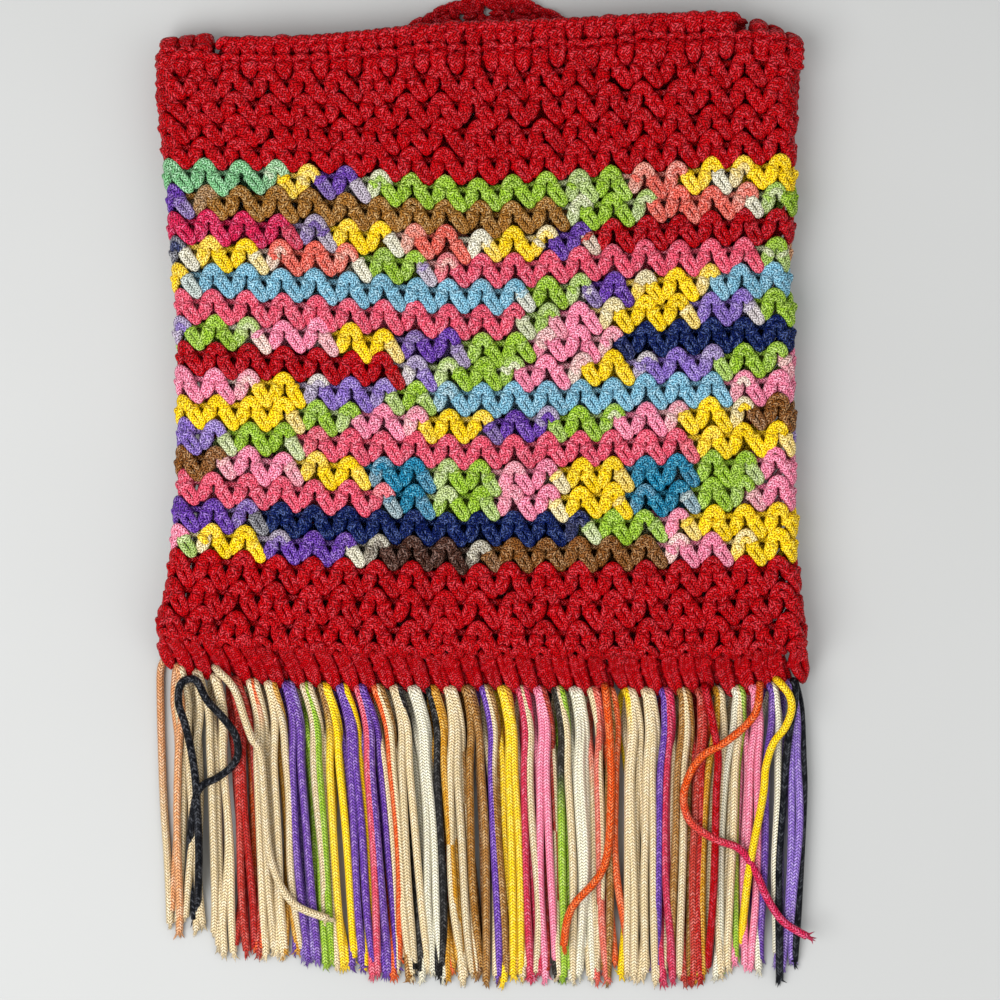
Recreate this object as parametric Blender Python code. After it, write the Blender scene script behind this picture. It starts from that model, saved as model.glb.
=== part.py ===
"""Flat crocheted shoulder bag with a fringed hem, laid on its back.

The bag is a tube of crochet, worked in the round and closed along the hem: a red
band at the mouth, fifteen striped rounds and a red band at the hem. A shoulder
strap grows out of the two upper corners, folds over the mouth and lies in loops
under the back. Every hole of the hem carries one fringe tassel.

World frame in metres: X across the bag, +Y from the hem to the mouth, +Z up,
the floor at zero, and the origin under the middle of the whole bag.
"""

from collections import namedtuple
from math import atan, cos, pi, radians, sin

import bmesh
import bpy
from mathutils import Matrix, Vector
from mathutils.geometry import interpolate_bezier

# Crochet fabric
BAG_WIDTH = 0.2415
WAIST_INSET = 0.0050
WAIST_SHIFT = 0.0024
HEM_INSET = 0.0040
WALL = 0.0045
HOLLOW = 0.0070
COLUMNS = 18
BACK_STEP = 4
ZIGZAG = 0.0044
GROOVE_DEPTH = 0.0011
PIT_DEPTH = 0.0009
GAP_RADIUS = 0.0019
GAP_RISE = 0.0032

# Rounds, counted from the mouth down
RIM_HEIGHT = 0.0037
PLAIN_ROUNDS = 2
PLAIN_HEIGHT = 0.0092
MOUTH_V_ROUNDS = 3
MOUTH_V_HEIGHT = 0.0110
STRIPED_ROUNDS = 15
STRIPED_HEIGHT = 0.00977
HEM_V_ROUNDS = 4
HEM_V_HEIGHT = 0.0103
ROUND_GAP = 0.0004

# Hem, its holes and how it lies
HEM_THICKNESS = 0.0070
HEM_BAR = 0.0026
HEM_MARGIN = 0.0025
HEM_LIFT_LEFT = 0.0130
HEM_LIFT_RIGHT = 0.0020
HEM_LIFT_POWER = 6

# Shoulder strap
STRAP_WIDTH = 0.0190
STRAP_THICKNESS = 0.0042
STRAP_CORNER_DROP = 0.0100
STRAP_LEAD = 0.0010
STRAP_SLOT = 0.0037
STRAP_RUN_INSET = 0.0160
STRAP_TURN_RADIUS = 0.0280
STRAP_TURN_DEPTH = 0.1570
STRAP_LOOP_RADIUS = 0.0510
STRAP_LOOP_RISE = 0.0086

# Fringe
STRAND = 0.0028
FRINGE_DROP = 0.1106
FRINGE_END_LIFT = 1.3
FRINGE_SPREAD = 0.09
FRINGE_SWAY = 0.0030
FRINGE_TOUCHDOWN = 0.0160

SEAT_GAP = 0.0003

# Sizes that follow from the ones above
THICKNESS = 2 * WALL + HOLLOW
LIFT = STRAP_THICKNESS + SEAT_GAP
CENTRE_Z = LIFT + THICKNESS / 2
KNOT_REACH = HEM_THICKNESS / 2 + SEAT_GAP + STRAND
HEM_HOLE = STRAND + 2 * SEAT_GAP
HEM_ZONE = HEM_BAR + HEM_HOLE + HEM_MARGIN
MOUTH_BAND = RIM_HEIGHT + PLAIN_ROUNDS * PLAIN_HEIGHT + MOUTH_V_ROUNDS * MOUTH_V_HEIGHT
STRIPED_BAND = STRIPED_ROUNDS * STRIPED_HEIGHT
HEM_BAND = HEM_V_ROUNDS * HEM_V_HEIGHT + HEM_ZONE
OVERALL = STRAP_LOOP_RISE + MOUTH_BAND + STRIPED_BAND + HEM_BAND + FRINGE_DROP
RIM_Y = OVERALL / 2 - STRAP_LOOP_RISE
STRIPES_TOP = RIM_Y - MOUTH_BAND
STRIPES_BOTTOM = STRIPES_TOP - STRIPED_BAND
HEM_Y = STRIPES_BOTTOM - HEM_BAND
POCKET_END = HEM_Y + HEM_ZONE + HEM_V_HEIGHT
FOLD_RADIUS = (CENTRE_Z + HOLLOW / 2 + WALL / 2 - STRAP_THICKNESS / 2) / 2
CUT_REACH = 2 * THICKNESS

# Cord colours, linear RGB
RED = (0.55, 0.006, 0.012)
LIME = (0.52, 0.72, 0.08)
TAN = (0.46, 0.25, 0.10)
YELLOW = (0.90, 0.62, 0.04)
CORAL = (0.88, 0.22, 0.16)
SKY = (0.45, 0.66, 0.86)
ROSE = (0.84, 0.14, 0.32)
NAVY = (0.02, 0.03, 0.10)
TEAL = (0.06, 0.42, 0.40)
VIOLET = (0.22, 0.08, 0.52)
CREAM = (0.84, 0.76, 0.60)
PEACH = (0.86, 0.55, 0.34)
BLACK = (0.01, 0.01, 0.012)
ORANGE = (0.86, 0.17, 0.03)
GOLD = (0.74, 0.42, 0.04)
BROWN = (0.18, 0.07, 0.03)
WHITE = (0.80, 0.84, 0.78)
STRIPES = (LIME, TAN, YELLOW, ROSE, SKY, ROSE, NAVY, RED, SKY, YELLOW, ROSE, TEAL, ROSE, NAVY, BROWN)
TASSELS = (
    PEACH, BLACK, CREAM, RED, ORANGE, CREAM, VIOLET, LIME, BROWN, VIOLET, ROSE, ORANGE,
    CREAM, WHITE, BLACK, ORANGE, BROWN, VIOLET, YELLOW, CREAM, ROSE, BLACK, WHITE, CREAM,
    BROWN, YELLOW, CREAM, VIOLET, CREAM, RED, GOLD, WHITE, ORANGE, YELLOW, BLACK,
)

Line = namedtuple("Line", "y depth zigzag pits")


def cord_material(name, colour):
    """A glossy knitted cord of one colour."""
    material = bpy.data.materials.new(name)
    material.use_nodes = True
    shader = material.node_tree.nodes["Principled BSDF"]
    shader.inputs["Base Color"].default_value = (*colour, 1.0)
    shader.inputs["Roughness"].default_value = 0.45
    shader.inputs["Metallic"].default_value = 0.0
    return material


def smoothstep(value, start, end):
    """Rise smoothly from 0 at start to 1 at end."""
    t = min(max((value - start) / (end - start), 0.0), 1.0)
    return t * t * (3 - 2 * t)


def half_width(y):
    """Half the bag's width at height y: drawn in at the waist and at the hem's corners."""
    middle = (RIM_Y + HEM_Y) / 2
    waist = cos(pi / 2 * min(abs(y - middle) / ((RIM_Y - HEM_Y) / 2), 1.0))
    corner = smoothstep(y, HEM_Y + HEM_ZONE + HEM_V_HEIGHT, HEM_Y)
    return BAG_WIDTH / 2 - WAIST_INSET * waist - HEM_INSET * corner


def centre_x(y):
    """The waist lies a little to the right of the mouth and the hem."""
    middle = (RIM_Y + HEM_Y) / 2
    return WAIST_SHIFT * cos(pi / 2 * min(abs(y - middle) / ((RIM_Y - HEM_Y) / 2), 1.0))


def flatness(y):
    """0 on the open tube, 1 where its two walls are pressed together at the hem."""
    return smoothstep(y, POCKET_END, HEM_Y + HEM_ZONE)


def thickness_at(y):
    """Outer thickness of the flattened tube at height y."""
    return THICKNESS + (HEM_THICKNESS - THICKNESS) * flatness(y)


def centre_z(y):
    """Height of the tube's middle plane: it comes down to the knots' height at the hem."""
    return CENTRE_Z + (KNOT_REACH - CENTRE_Z) * flatness(y)


def settled(x, y):
    """Height y after the hem's two corners have ridden up."""
    share = max((STRIPES_BOTTOM - y) / HEM_BAND, 0.0) ** 2
    lift = HEM_LIFT_LEFT if x < 0 else HEM_LIFT_RIGHT
    return y + share * lift * (abs(x) / (BAG_WIDTH / 2)) ** HEM_LIFT_POWER


def column_x(index, count, y, inset=0.0):
    """Place of one of the count + 1 points along the flat of a wall."""
    flat = half_width(y) - thickness_at(y) / 2
    return centre_x(y) + (2 * index / count - 1) * (flat - inset)


def fabric_ring(line, count, inset=0.0, back_step=1):
    """One closed line of points round the tube: front, right fold, back, left fold.

    Between the back's first and last points, only every back_step-th one is there.
    """
    radius = thickness_at(line.y) / 2 - inset
    middle = centre_z(line.y)
    front, back = [], []
    for index in range(count + 1):
        x = column_x(index, count, line.y)
        wave = ZIGZAG / 2 * line.zigzag * (1 if index % 2 == 0 else -1)
        pit = PIT_DEPTH if line.pits and index % line.pits == 0 else 0.0
        y = settled(x, line.y) + wave
        front.append(Vector((x, y, middle + radius - line.depth - pit)))
        kept = index % back_step == 0 or index == count
        back.append(Vector((x, y, middle - radius + line.depth)) if kept else None)
    folds = []
    for side, index in ((1, count), (-1, 0)):
        x = column_x(index, count, line.y)
        reach = radius - line.depth
        fold = []
        for angle, wave in ((45, 0), (0, -1), (-45, 0)):
            across = side * reach * cos(radians(angle))
            y = settled(x, line.y) + ZIGZAG / 2 * line.zigzag * wave
            fold.append(Vector((x + across, y, middle + reach * sin(radians(angle)))))
        folds.append(fold)
    return front + folds[0] + back[::-1] + folds[1][::-1]


def bridge(mesh_maker, upper, lower):
    """Faces between two rings, each as wide as the coarser ring's points allow."""
    size = len(upper)
    shared = [i for i in range(size) if upper[i] and lower[i]] + [size]
    faces = []
    for low, high in zip(shared, shared[1:]):
        span = [i % size for i in range(low, high + 1)]
        corners = [upper[i] for i in span if upper[i]] + [lower[i] for i in span[::-1] if lower[i]]
        faces.append(mesh_maker.faces.new(corners))
    return faces


def rule_end(mesh_maker, ring, count):
    """Close one end of the tube with faces ruled from the front to the back."""
    front, right = ring[:count + 1], ring[count + 1:count + 4]
    back, left = ring[count + 4:2 * count + 5][::-1], ring[2 * count + 5:]
    corners = [(front[i], front[i + 1], back[i + 1], back[i]) for i in range(count)]
    corners.append((front[-1], *right, back[-1]))
    corners.append((back[0], *left, front[0]))
    return [mesh_maker.faces.new(face) for face in corners]


def fabric_loft(name, lines, count, inset=0.0, back_step=1, colour_of=None):
    """Skin the rings into one closed body."""
    mesh_maker = bmesh.new()
    rings = []
    for level, line in enumerate(lines):
        at_end = level in (0, len(lines) - 1)
        ring = fabric_ring(line, count, inset, 1 if at_end else back_step)
        rings.append([point and mesh_maker.verts.new(point) for point in ring])
    strips = [bridge(mesh_maker, upper, lower) for upper, lower in zip(rings, rings[1:])]
    strips[0] += rule_end(mesh_maker, rings[0], count)
    strips[-1] += rule_end(mesh_maker, rings[-1], count)
    for level, faces in enumerate(strips):
        for face in faces:
            face.material_index = colour_of(level) if colour_of else 0
    bmesh.ops.recalc_face_normals(mesh_maker, faces=mesh_maker.faces)
    mesh = bpy.data.meshes.new(name)
    mesh_maker.to_mesh(mesh)
    mesh_maker.free()
    return bpy.data.objects.new(name, mesh)


def round_lines(top, height, rounds, pits):
    """A ridge along the middle of each round and a zigzag groove under it."""
    lines = []
    for index in range(rounds):
        y = top - index * height
        lines.append(Line(y - height / 2, 0.0, 1, 0))
        lines.append(Line(y - height, GROOVE_DEPTH, 1, pits))
    return lines


def mouth_lines():
    """Rim chain, plain rounds, then V rounds down to the first stripe."""
    lines = [Line(RIM_Y, GROOVE_DEPTH, 0, 0), Line(RIM_Y - RIM_HEIGHT / 2, 0.0, 0, 0)]
    y = RIM_Y - RIM_HEIGHT
    lines.append(Line(y, GROOVE_DEPTH, 0, 1))
    for index in range(PLAIN_ROUNDS):
        lines.append(Line(y - PLAIN_HEIGHT / 2, 0.0, 0, 0))
        y -= PLAIN_HEIGHT
        lines.append(Line(y, GROOVE_DEPTH, 0, 1))
    lines += round_lines(y, MOUTH_V_HEIGHT, MOUTH_V_ROUNDS, 2)
    return lines


def striped_lines():
    """The striped rounds, nested into the bands above and below."""
    first = Line(STRIPES_TOP - ROUND_GAP, GROOVE_DEPTH, 1, 2)
    return [first] + round_lines(STRIPES_TOP, STRIPED_HEIGHT, STRIPED_ROUNDS, 2)


def hem_lines():
    """V rounds, then the zone of the holes and the bar along the edge."""
    first = Line(STRIPES_BOTTOM - ROUND_GAP, GROOVE_DEPTH, 1, 2)
    lines = [first] + round_lines(STRIPES_BOTTOM, HEM_V_HEIGHT, HEM_V_ROUNDS, 2)
    lines[-1] = Line(HEM_Y + HEM_ZONE, 0.0, 0, 0)
    lines.append(Line(HEM_Y, 0.0, 0, 0))
    return lines


def hollow_cutter():
    """The bag's inside, as wide as the walls leave it and open at the mouth."""
    lines = [Line(y, 0.0, 0, 0) for y in (
        RIM_Y + CUT_REACH,
        RIM_Y - MOUTH_BAND / 2,
        STRIPES_TOP,
        (STRIPES_TOP + STRIPES_BOTTOM) / 2,
        STRIPES_BOTTOM,
        POCKET_END,
    )]
    return fabric_loft("hollow_cutter", lines, 6, inset=WALL)


def prisms(name, placed, sides, radius, depth):
    """Upright prisms at the given places, each turned by its own angle."""
    mesh_maker = bmesh.new()
    for centre, angle in placed:
        bmesh.ops.create_cone(
            mesh_maker, cap_ends=True, segments=sides, radius1=radius, radius2=radius,
            depth=depth, matrix=Matrix.Translation(centre) @ Matrix.Rotation(angle, 4, "Z"),
        )
    mesh = bpy.data.meshes.new(name)
    mesh_maker.to_mesh(mesh)
    mesh_maker.free()
    return bpy.data.objects.new(name, mesh)


def gap_cutter(name, lines):
    """Gaps under the arches of the V rounds, through the front wall only."""
    placed = []
    for line in lines:
        for index in range(2, 2 * COLUMNS - 1, 2):
            x = column_x(index, 2 * COLUMNS, line.y)
            centre = Vector((x, settled(x, line.y) + GAP_RISE, CENTRE_Z + CUT_REACH / 2))
            placed.append((centre, 0.0))
    return prisms(name, placed, 3, GAP_RADIUS, CUT_REACH)


def hem_place(index):
    """Middle of the bar under one hem hole, and the angle at which the hem runs there."""
    x = column_x(index, 2 * COLUMNS, HEM_Y)
    step = HEM_HOLE / 2
    slope = (settled(x + step, HEM_Y) - settled(x - step, HEM_Y)) / (2 * step)
    return Vector((x, settled(x, HEM_Y) + HEM_BAR / 2, KNOT_REACH)), atan(slope)


def hem_hole_cutter():
    """One square hole above the bar for each tassel, through both walls."""
    placed = []
    for index in range(1, 2 * COLUMNS):
        centre, angle = hem_place(index)
        up = Matrix.Rotation(angle, 3, "Z") @ Vector((0, (HEM_BAR + HEM_HOLE) / 2, 0))
        placed.append((centre + up, angle + radians(45)))
    return prisms("hem_hole_cutter", placed, 4, HEM_HOLE / 2 ** 0.5, CUT_REACH)


def strap_centre():
    """Distance of each strap end from the middle of the mouth."""
    return BAG_WIDTH / 2 - STRAP_WIDTH / 2


def corner_cutter():
    """Steps at both upper corners, where the strap takes over from the bag."""
    mesh_maker = bmesh.new()
    inner = strap_centre() - STRAP_WIDTH / 2 - STRAP_SLOT
    width = CUT_REACH
    for side in (-1, 1):
        size = Matrix.Diagonal((width, 2 * STRAP_CORNER_DROP, 2 * CUT_REACH, 1))
        place = Vector((side * (inner + width / 2), RIM_Y, CENTRE_Z))
        bmesh.ops.create_cube(mesh_maker, size=1.0, matrix=Matrix.Translation(place) @ size)
    mesh = bpy.data.meshes.new("corner_cutter")
    mesh_maker.to_mesh(mesh)
    mesh_maker.free()
    return bpy.data.objects.new("corner_cutter", mesh)


def arc(centre, radius, start, end, count):
    """Points of a flat arc on the floor, both ends included, angles in degrees."""
    points = []
    for index in range(count + 1):
        angle = radians(start + (end - start) * index / count)
        points.append(centre + radius * Vector((cos(angle), sin(angle), 0)))
    return points


def strap_half():
    """Left half of the strap's middle line, from its end at the bag to the loop's top."""
    lying = STRAP_THICKNESS / 2
    start_y = RIM_Y - STRAP_CORNER_DROP + SEAT_GAP
    fold_centre = Vector((-strap_centre(), start_y + STRAP_LEAD, lying + FOLD_RADIUS))
    points = [fold_centre + Vector((0, -STRAP_LEAD, FOLD_RADIUS))]
    for index in range(7):
        angle = radians(90 - 180 * index / 6)
        points.append(fold_centre + FOLD_RADIUS * Vector((0, cos(angle), sin(angle))))
    points.append(fold_centre + Vector((0, -STRAP_LEAD, -FOLD_RADIUS)))
    run_x = strap_centre() - STRAP_RUN_INSET
    turn = Vector((STRAP_TURN_RADIUS - run_x, RIM_Y - STRAP_TURN_DEPTH, lying))
    run_top, run_end = points[-1], turn - Vector((STRAP_TURN_RADIUS, 0, 0))
    pull = Vector((0, (run_top.y - run_end.y) / 3, 0))
    points += interpolate_bezier(run_top, run_top - pull, run_end + pull, run_end, 8)[1:]
    points += arc(turn, STRAP_TURN_RADIUS, 180, 360, 9)[1:]
    outer_loop = STRAP_LOOP_RADIUS + STRAP_WIDTH / 2
    loop = Vector((0, RIM_Y + STRAP_LOOP_RISE - outer_loop, lying))
    rise_start, rise_end = points[-1], loop - Vector((STRAP_LOOP_RADIUS, 0, 0))
    pull = Vector((0, (rise_end.y - rise_start.y) / 3, 0))
    points += interpolate_bezier(rise_start, rise_start + pull, rise_end - pull, rise_end, 6)[1:]
    points += arc(loop, STRAP_LOOP_RADIUS, 180, 90, 7)[1:]
    return points


def add_spline(curve, points, cyclic=False):
    """Add one straight-run spline through the points."""
    spline = curve.splines.new("POLY")
    spline.points.add(len(points) - 1)
    for spot, point in zip(spline.points, points):
        spot.co = (*point, 1.0)
    spline.use_cyclic_u = cyclic


def strap_profile():
    """Flat band with blunt sides, as a guide for the strap's curve."""
    curve = bpy.data.curves.new("strap_profile", "CURVE")
    curve.dimensions = "2D"
    wide, edge, half = STRAP_WIDTH / 2, STRAP_WIDTH / 2 - STRAP_THICKNESS / 3, STRAP_THICKNESS / 2
    corners = ((wide, 0), (edge, -half), (-edge, -half), (-wide, 0), (-edge, half), (edge, half))
    add_spline(curve, [Vector((x, y, 0)) for x, y in corners], cyclic=True)
    return bpy.data.objects.new("strap_profile", curve)


def shoulder_strap(profile):
    """The strap as one flat band swept along its middle line."""
    curve = bpy.data.curves.new("shoulder_strap", "CURVE")
    curve.dimensions = "3D"
    curve.twist_mode = "MINIMUM"
    curve.bevel_mode = "OBJECT"
    curve.bevel_object = profile
    curve.use_fill_caps = True
    left = strap_half()
    right = [Vector((-point.x, point.y, point.z)) for point in left[-2::-1]]
    add_spline(curve, left + right)
    return bpy.data.objects.new("shoulder_strap", curve)


def tassel(index):
    """One cord folded through a hem hole, with both its ends lying on the floor."""
    centre, angle = hem_place(index)
    turned = Matrix.Rotation(angle, 3, "Z")
    along = HEM_BAR / 2 + SEAT_GAP + STRAND / 2
    above = HEM_THICKNESS / 2 + SEAT_GAP + STRAND / 2
    end_y = HEM_Y - FRINGE_DROP + FRINGE_END_LIFT * (settled(centre.x, HEM_Y) - HEM_Y)
    pitch = column_x(1, 2 * COLUMNS, HEM_Y) - column_x(0, 2 * COLUMNS, HEM_Y)

    def hanging(side, start, reaches):
        """Points of one end, from under the bar to its tip."""
        points = [start]
        for reach in reaches:
            y = start.y - min(reach, 1.0) * FRINGE_TOUCHDOWN
            y += (end_y - y) * max(reach - 1.0, 0.0)
            part = (start.y - y) / (start.y - end_y)
            settle = (start.y - y) / FRINGE_TOUCHDOWN
            x = centre.x + side * pitch / 4 * smoothstep(settle, 0.0, 0.5)
            sway = FRINGE_SWAY * sin(pi * part) * sin(2 * pi * centre.x / BAG_WIDTH)
            z = start.z + (STRAND / 2 - start.z) * smoothstep(settle, 0.0, 1.0)
            points.append(Vector((x + centre.x * FRINGE_SPREAD * part + sway, y, z)))
        return points

    front = centre + turned @ Vector((0, -along, above))
    back = centre + turned @ Vector((0, -along, -above))
    over = [centre + turned @ Vector((0, along, z)) for z in (above, -above)]
    points = hanging(-1, front, (0.4, 1.0, 1.5, 2.0))[::-1] + over
    points += hanging(1, back, (0.5, 1.5, 2.0))
    curve = bpy.data.curves.new(f"fringe_tassel_{index:02d}", "CURVE")
    curve.dimensions = "3D"
    curve.bevel_depth = STRAND / 2
    curve.bevel_resolution = 1
    curve.use_fill_caps = True
    add_spline(curve, points)
    return bpy.data.objects.new(curve.name, curve)


def cut(target, cutter):
    """Subtract a cutter from a fabric body."""
    modifier = target.modifiers.new(cutter.name, "BOOLEAN")
    modifier.operation = "DIFFERENCE"
    modifier.solver = "EXACT"
    modifier.object = cutter


def hide_guide(guide, collection):
    """Keep a cutter or a guide out of the model."""
    guide.hide_render = True
    guide.display_type = "WIRE"
    collection.objects.link(guide)


def main():
    """Build the bag."""
    for old in list(bpy.data.objects):
        bpy.data.objects.remove(old, do_unlink=True)
    parts = bpy.data.collections.new("crocheted_bag")
    guides = bpy.data.collections.new("cutters_and_guides")
    for collection in (parts, guides):
        bpy.context.scene.collection.children.link(collection)
    red = cord_material("red cord", RED)

    mouth_band = fabric_loft("mouth_band", mouth_lines(), 2 * COLUMNS, back_step=BACK_STEP)
    mouth_band.data.materials.append(red)
    striped_panel = fabric_loft(
        "striped_panel", striped_lines(), 2 * COLUMNS,
        back_step=BACK_STEP, colour_of=lambda level: level // 2,
    )
    for index in range(STRIPED_ROUNDS):
        colour = STRIPES[index % len(STRIPES)]
        striped_panel.data.materials.append(cord_material(f"stripe cord {index + 1}", colour))
    hem_band = fabric_loft("hem_band", hem_lines(), 2 * COLUMNS, back_step=BACK_STEP)
    hem_band.data.materials.append(red)

    hollow = hollow_cutter()
    corners = corner_cutter()
    v_grooves = [line for line in mouth_lines() if line.pits == 2]
    mouth_gaps = gap_cutter("mouth_gap_cutter", v_grooves[:MOUTH_V_ROUNDS - 1])
    hem_gaps = gap_cutter("hem_gap_cutter", [line for line in hem_lines() if line.pits == 2][1:-1])
    holes = hem_hole_cutter()
    for cutter in (hollow, corners, mouth_gaps, hem_gaps, holes):
        hide_guide(cutter, guides)
    for fabric in (mouth_band, striped_panel, hem_band):
        cut(fabric, hollow)
    cut(mouth_band, corners)
    cut(mouth_band, mouth_gaps)
    cut(hem_band, hem_gaps)
    cut(hem_band, holes)

    profile = strap_profile()
    hide_guide(profile, guides)
    strap = shoulder_strap(profile)
    strap.data.materials.append(red)
    for piece in (mouth_band, striped_panel, hem_band, strap):
        parts.objects.link(piece)

    fringe = {colour: cord_material("fringe cord", colour) for colour in TASSELS}
    for index in range(1, 2 * COLUMNS):
        piece = tassel(index)
        piece.data.materials.append(fringe[TASSELS[(index - 1) % len(TASSELS)]])
        parts.objects.link(piece)


main()
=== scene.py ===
"""Looks of a flat crocheted shoulder bag with a fringed hem, laid on its back.

Every stitch is real cord: strands are laid out on the tube's walls, then swept by one
Geometry Nodes tree into knitted cord. World frame in metres: X across the bag, +Y from
the hem to the mouth, +Z up, the floor at zero.
"""

import logging
from dataclasses import dataclass, field
from enum import Enum

import bpy
import numpy as np
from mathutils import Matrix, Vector


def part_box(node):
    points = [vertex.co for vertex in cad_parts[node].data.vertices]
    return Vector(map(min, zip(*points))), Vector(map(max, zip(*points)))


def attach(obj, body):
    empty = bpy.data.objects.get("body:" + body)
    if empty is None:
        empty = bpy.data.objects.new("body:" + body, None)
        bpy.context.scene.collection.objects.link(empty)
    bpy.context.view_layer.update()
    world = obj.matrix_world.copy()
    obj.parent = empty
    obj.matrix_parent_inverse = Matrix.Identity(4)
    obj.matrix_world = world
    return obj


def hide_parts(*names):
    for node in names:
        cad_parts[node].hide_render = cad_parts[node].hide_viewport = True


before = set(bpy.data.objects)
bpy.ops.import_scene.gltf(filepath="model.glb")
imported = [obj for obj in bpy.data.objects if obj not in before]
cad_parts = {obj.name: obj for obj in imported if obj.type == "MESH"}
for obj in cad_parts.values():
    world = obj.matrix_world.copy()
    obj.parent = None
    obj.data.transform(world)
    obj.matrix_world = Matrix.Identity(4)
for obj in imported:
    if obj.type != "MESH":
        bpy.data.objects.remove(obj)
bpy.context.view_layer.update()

Array = np.ndarray
Material = bpy.types.Material
Object = bpy.types.Object
Socket = bpy.types.NodeSocket

LOG = logging.getLogger("crocheted_bag")
MM = 0.001

# Crochet grid: a V stitch is drawn on 36 steps across and 26 steps up a round
GRID_ACROSS = 36
GRID_UP = 26
GRID_STEP = 0.000365
ROUND_HEIGHT = 0.00977
STITCHES_ROUND = 38
FIRST_STITCH_X = -0.0085

# Shares of the way round the tube: its fold, and how far the front's finer stitches reach
FOLD_TURN = 0.25
FRONT_REACH = 0.27


def srgb(red: int, green: int, blue: int) -> tuple[float, float, float]:
    """Linear RGB of a colour given in the usual 0 to 255 values."""
    shares = np.array([red, green, blue]) / 255
    linear = np.where(shares <= 0.04045, shares / 12.92, ((shares + 0.055) / 1.055) ** 2.4)
    return tuple(float(value) for value in linear)


class Yarn(Enum):
    """The dye colours of the cords."""

    RED = srgb(173, 2, 10)
    MINT = srgb(124, 186, 130)
    LIME = srgb(148, 186, 48)
    YELLOW = srgb(255, 212, 20)
    VIOLET = srgb(100, 56, 160)
    LAVENDER = srgb(134, 104, 188)
    WHITE = srgb(226, 220, 196)
    CREAM = srgb(224, 202, 160)
    TAN = srgb(152, 102, 40)
    BROWN = srgb(126, 76, 30)
    UMBER = srgb(68, 38, 28)
    CORAL = srgb(228, 100, 84)
    ROSE = srgb(228, 84, 108)
    CRIMSON = srgb(204, 34, 78)
    PINK = srgb(244, 134, 164)
    SKY = srgb(124, 180, 204)
    TEAL = srgb(28, 122, 158)
    NAVY = srgb(8, 24, 80)
    PEACH = srgb(214, 152, 104)
    BLACK = srgb(14, 16, 22)
    ORANGE = srgb(226, 84, 24)
    GOLD = srgb(200, 140, 30)


class Wires:
    """Short forms for wiring a node tree."""

    def __init__(self, tree: bpy.types.NodeTree) -> None:
        """Keep the tree that the nodes go into."""
        self.tree = tree

    def node(self, kind: str, inputs: dict | None = None, **settings: object) -> bpy.types.Node:
        """Add a node, set its properties, then link or set its inputs by name or number."""
        made = self.tree.nodes.new(kind)
        for name, value in settings.items():
            setattr(made, name, value)
        for key, value in (inputs or {}).items():
            self.link(value, made.inputs[key])
        return made

    def link(self, source: object, target: Socket) -> None:
        """Link a socket to an input, or set the input to a plain value."""
        if isinstance(source, Socket):
            self.tree.links.new(source, target)
        else:
            target.default_value = source

    def math(self, operation: str, *values: object) -> Socket:
        """One math node."""
        return self.node("ShaderNodeMath", dict(enumerate(values)), operation=operation).outputs[0]

    def mix(self, blend: str, share: object, first: object, second: object) -> Socket:
        """One colour mix node."""
        inputs = {0: share, 6: first, 7: second}
        return self.node("ShaderNodeMix", inputs, data_type="RGBA", blend_type=blend).outputs[2]

    def ramp(self, value: object, low: float, high: float) -> Socket:
        """Smooth step from 0 at low to 1 at high."""
        inputs = {0: value, 1: low, 2: high}
        return self.node("ShaderNodeMapRange", inputs, interpolation_type="SMOOTHSTEP").outputs[0]

    def gamma(self, colour: object, power: float) -> Socket:
        """The colour raised to a power."""
        return self.node("ShaderNodeGamma", {"Color": colour, "Gamma": power}).outputs[0]

    def split(self, vector: Socket) -> tuple:
        """The first two parts of a vector."""
        made = self.node("ShaderNodeSeparateXYZ", {0: vector})
        return made.outputs[0], made.outputs[1]

    def join(self, *parts: object) -> Socket:
        """A vector from up to three parts."""
        return self.node("ShaderNodeCombineXYZ", dict(enumerate(parts))).outputs[0]


def start_material(name: str) -> tuple[Material, Wires, bpy.types.Node]:
    """A new material with the wires of its node tree and its main shader."""
    made = bpy.data.materials.new(name)
    made.use_nodes = True
    return made, Wires(made.node_tree), made.node_tree.nodes["Principled BSDF"]


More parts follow.
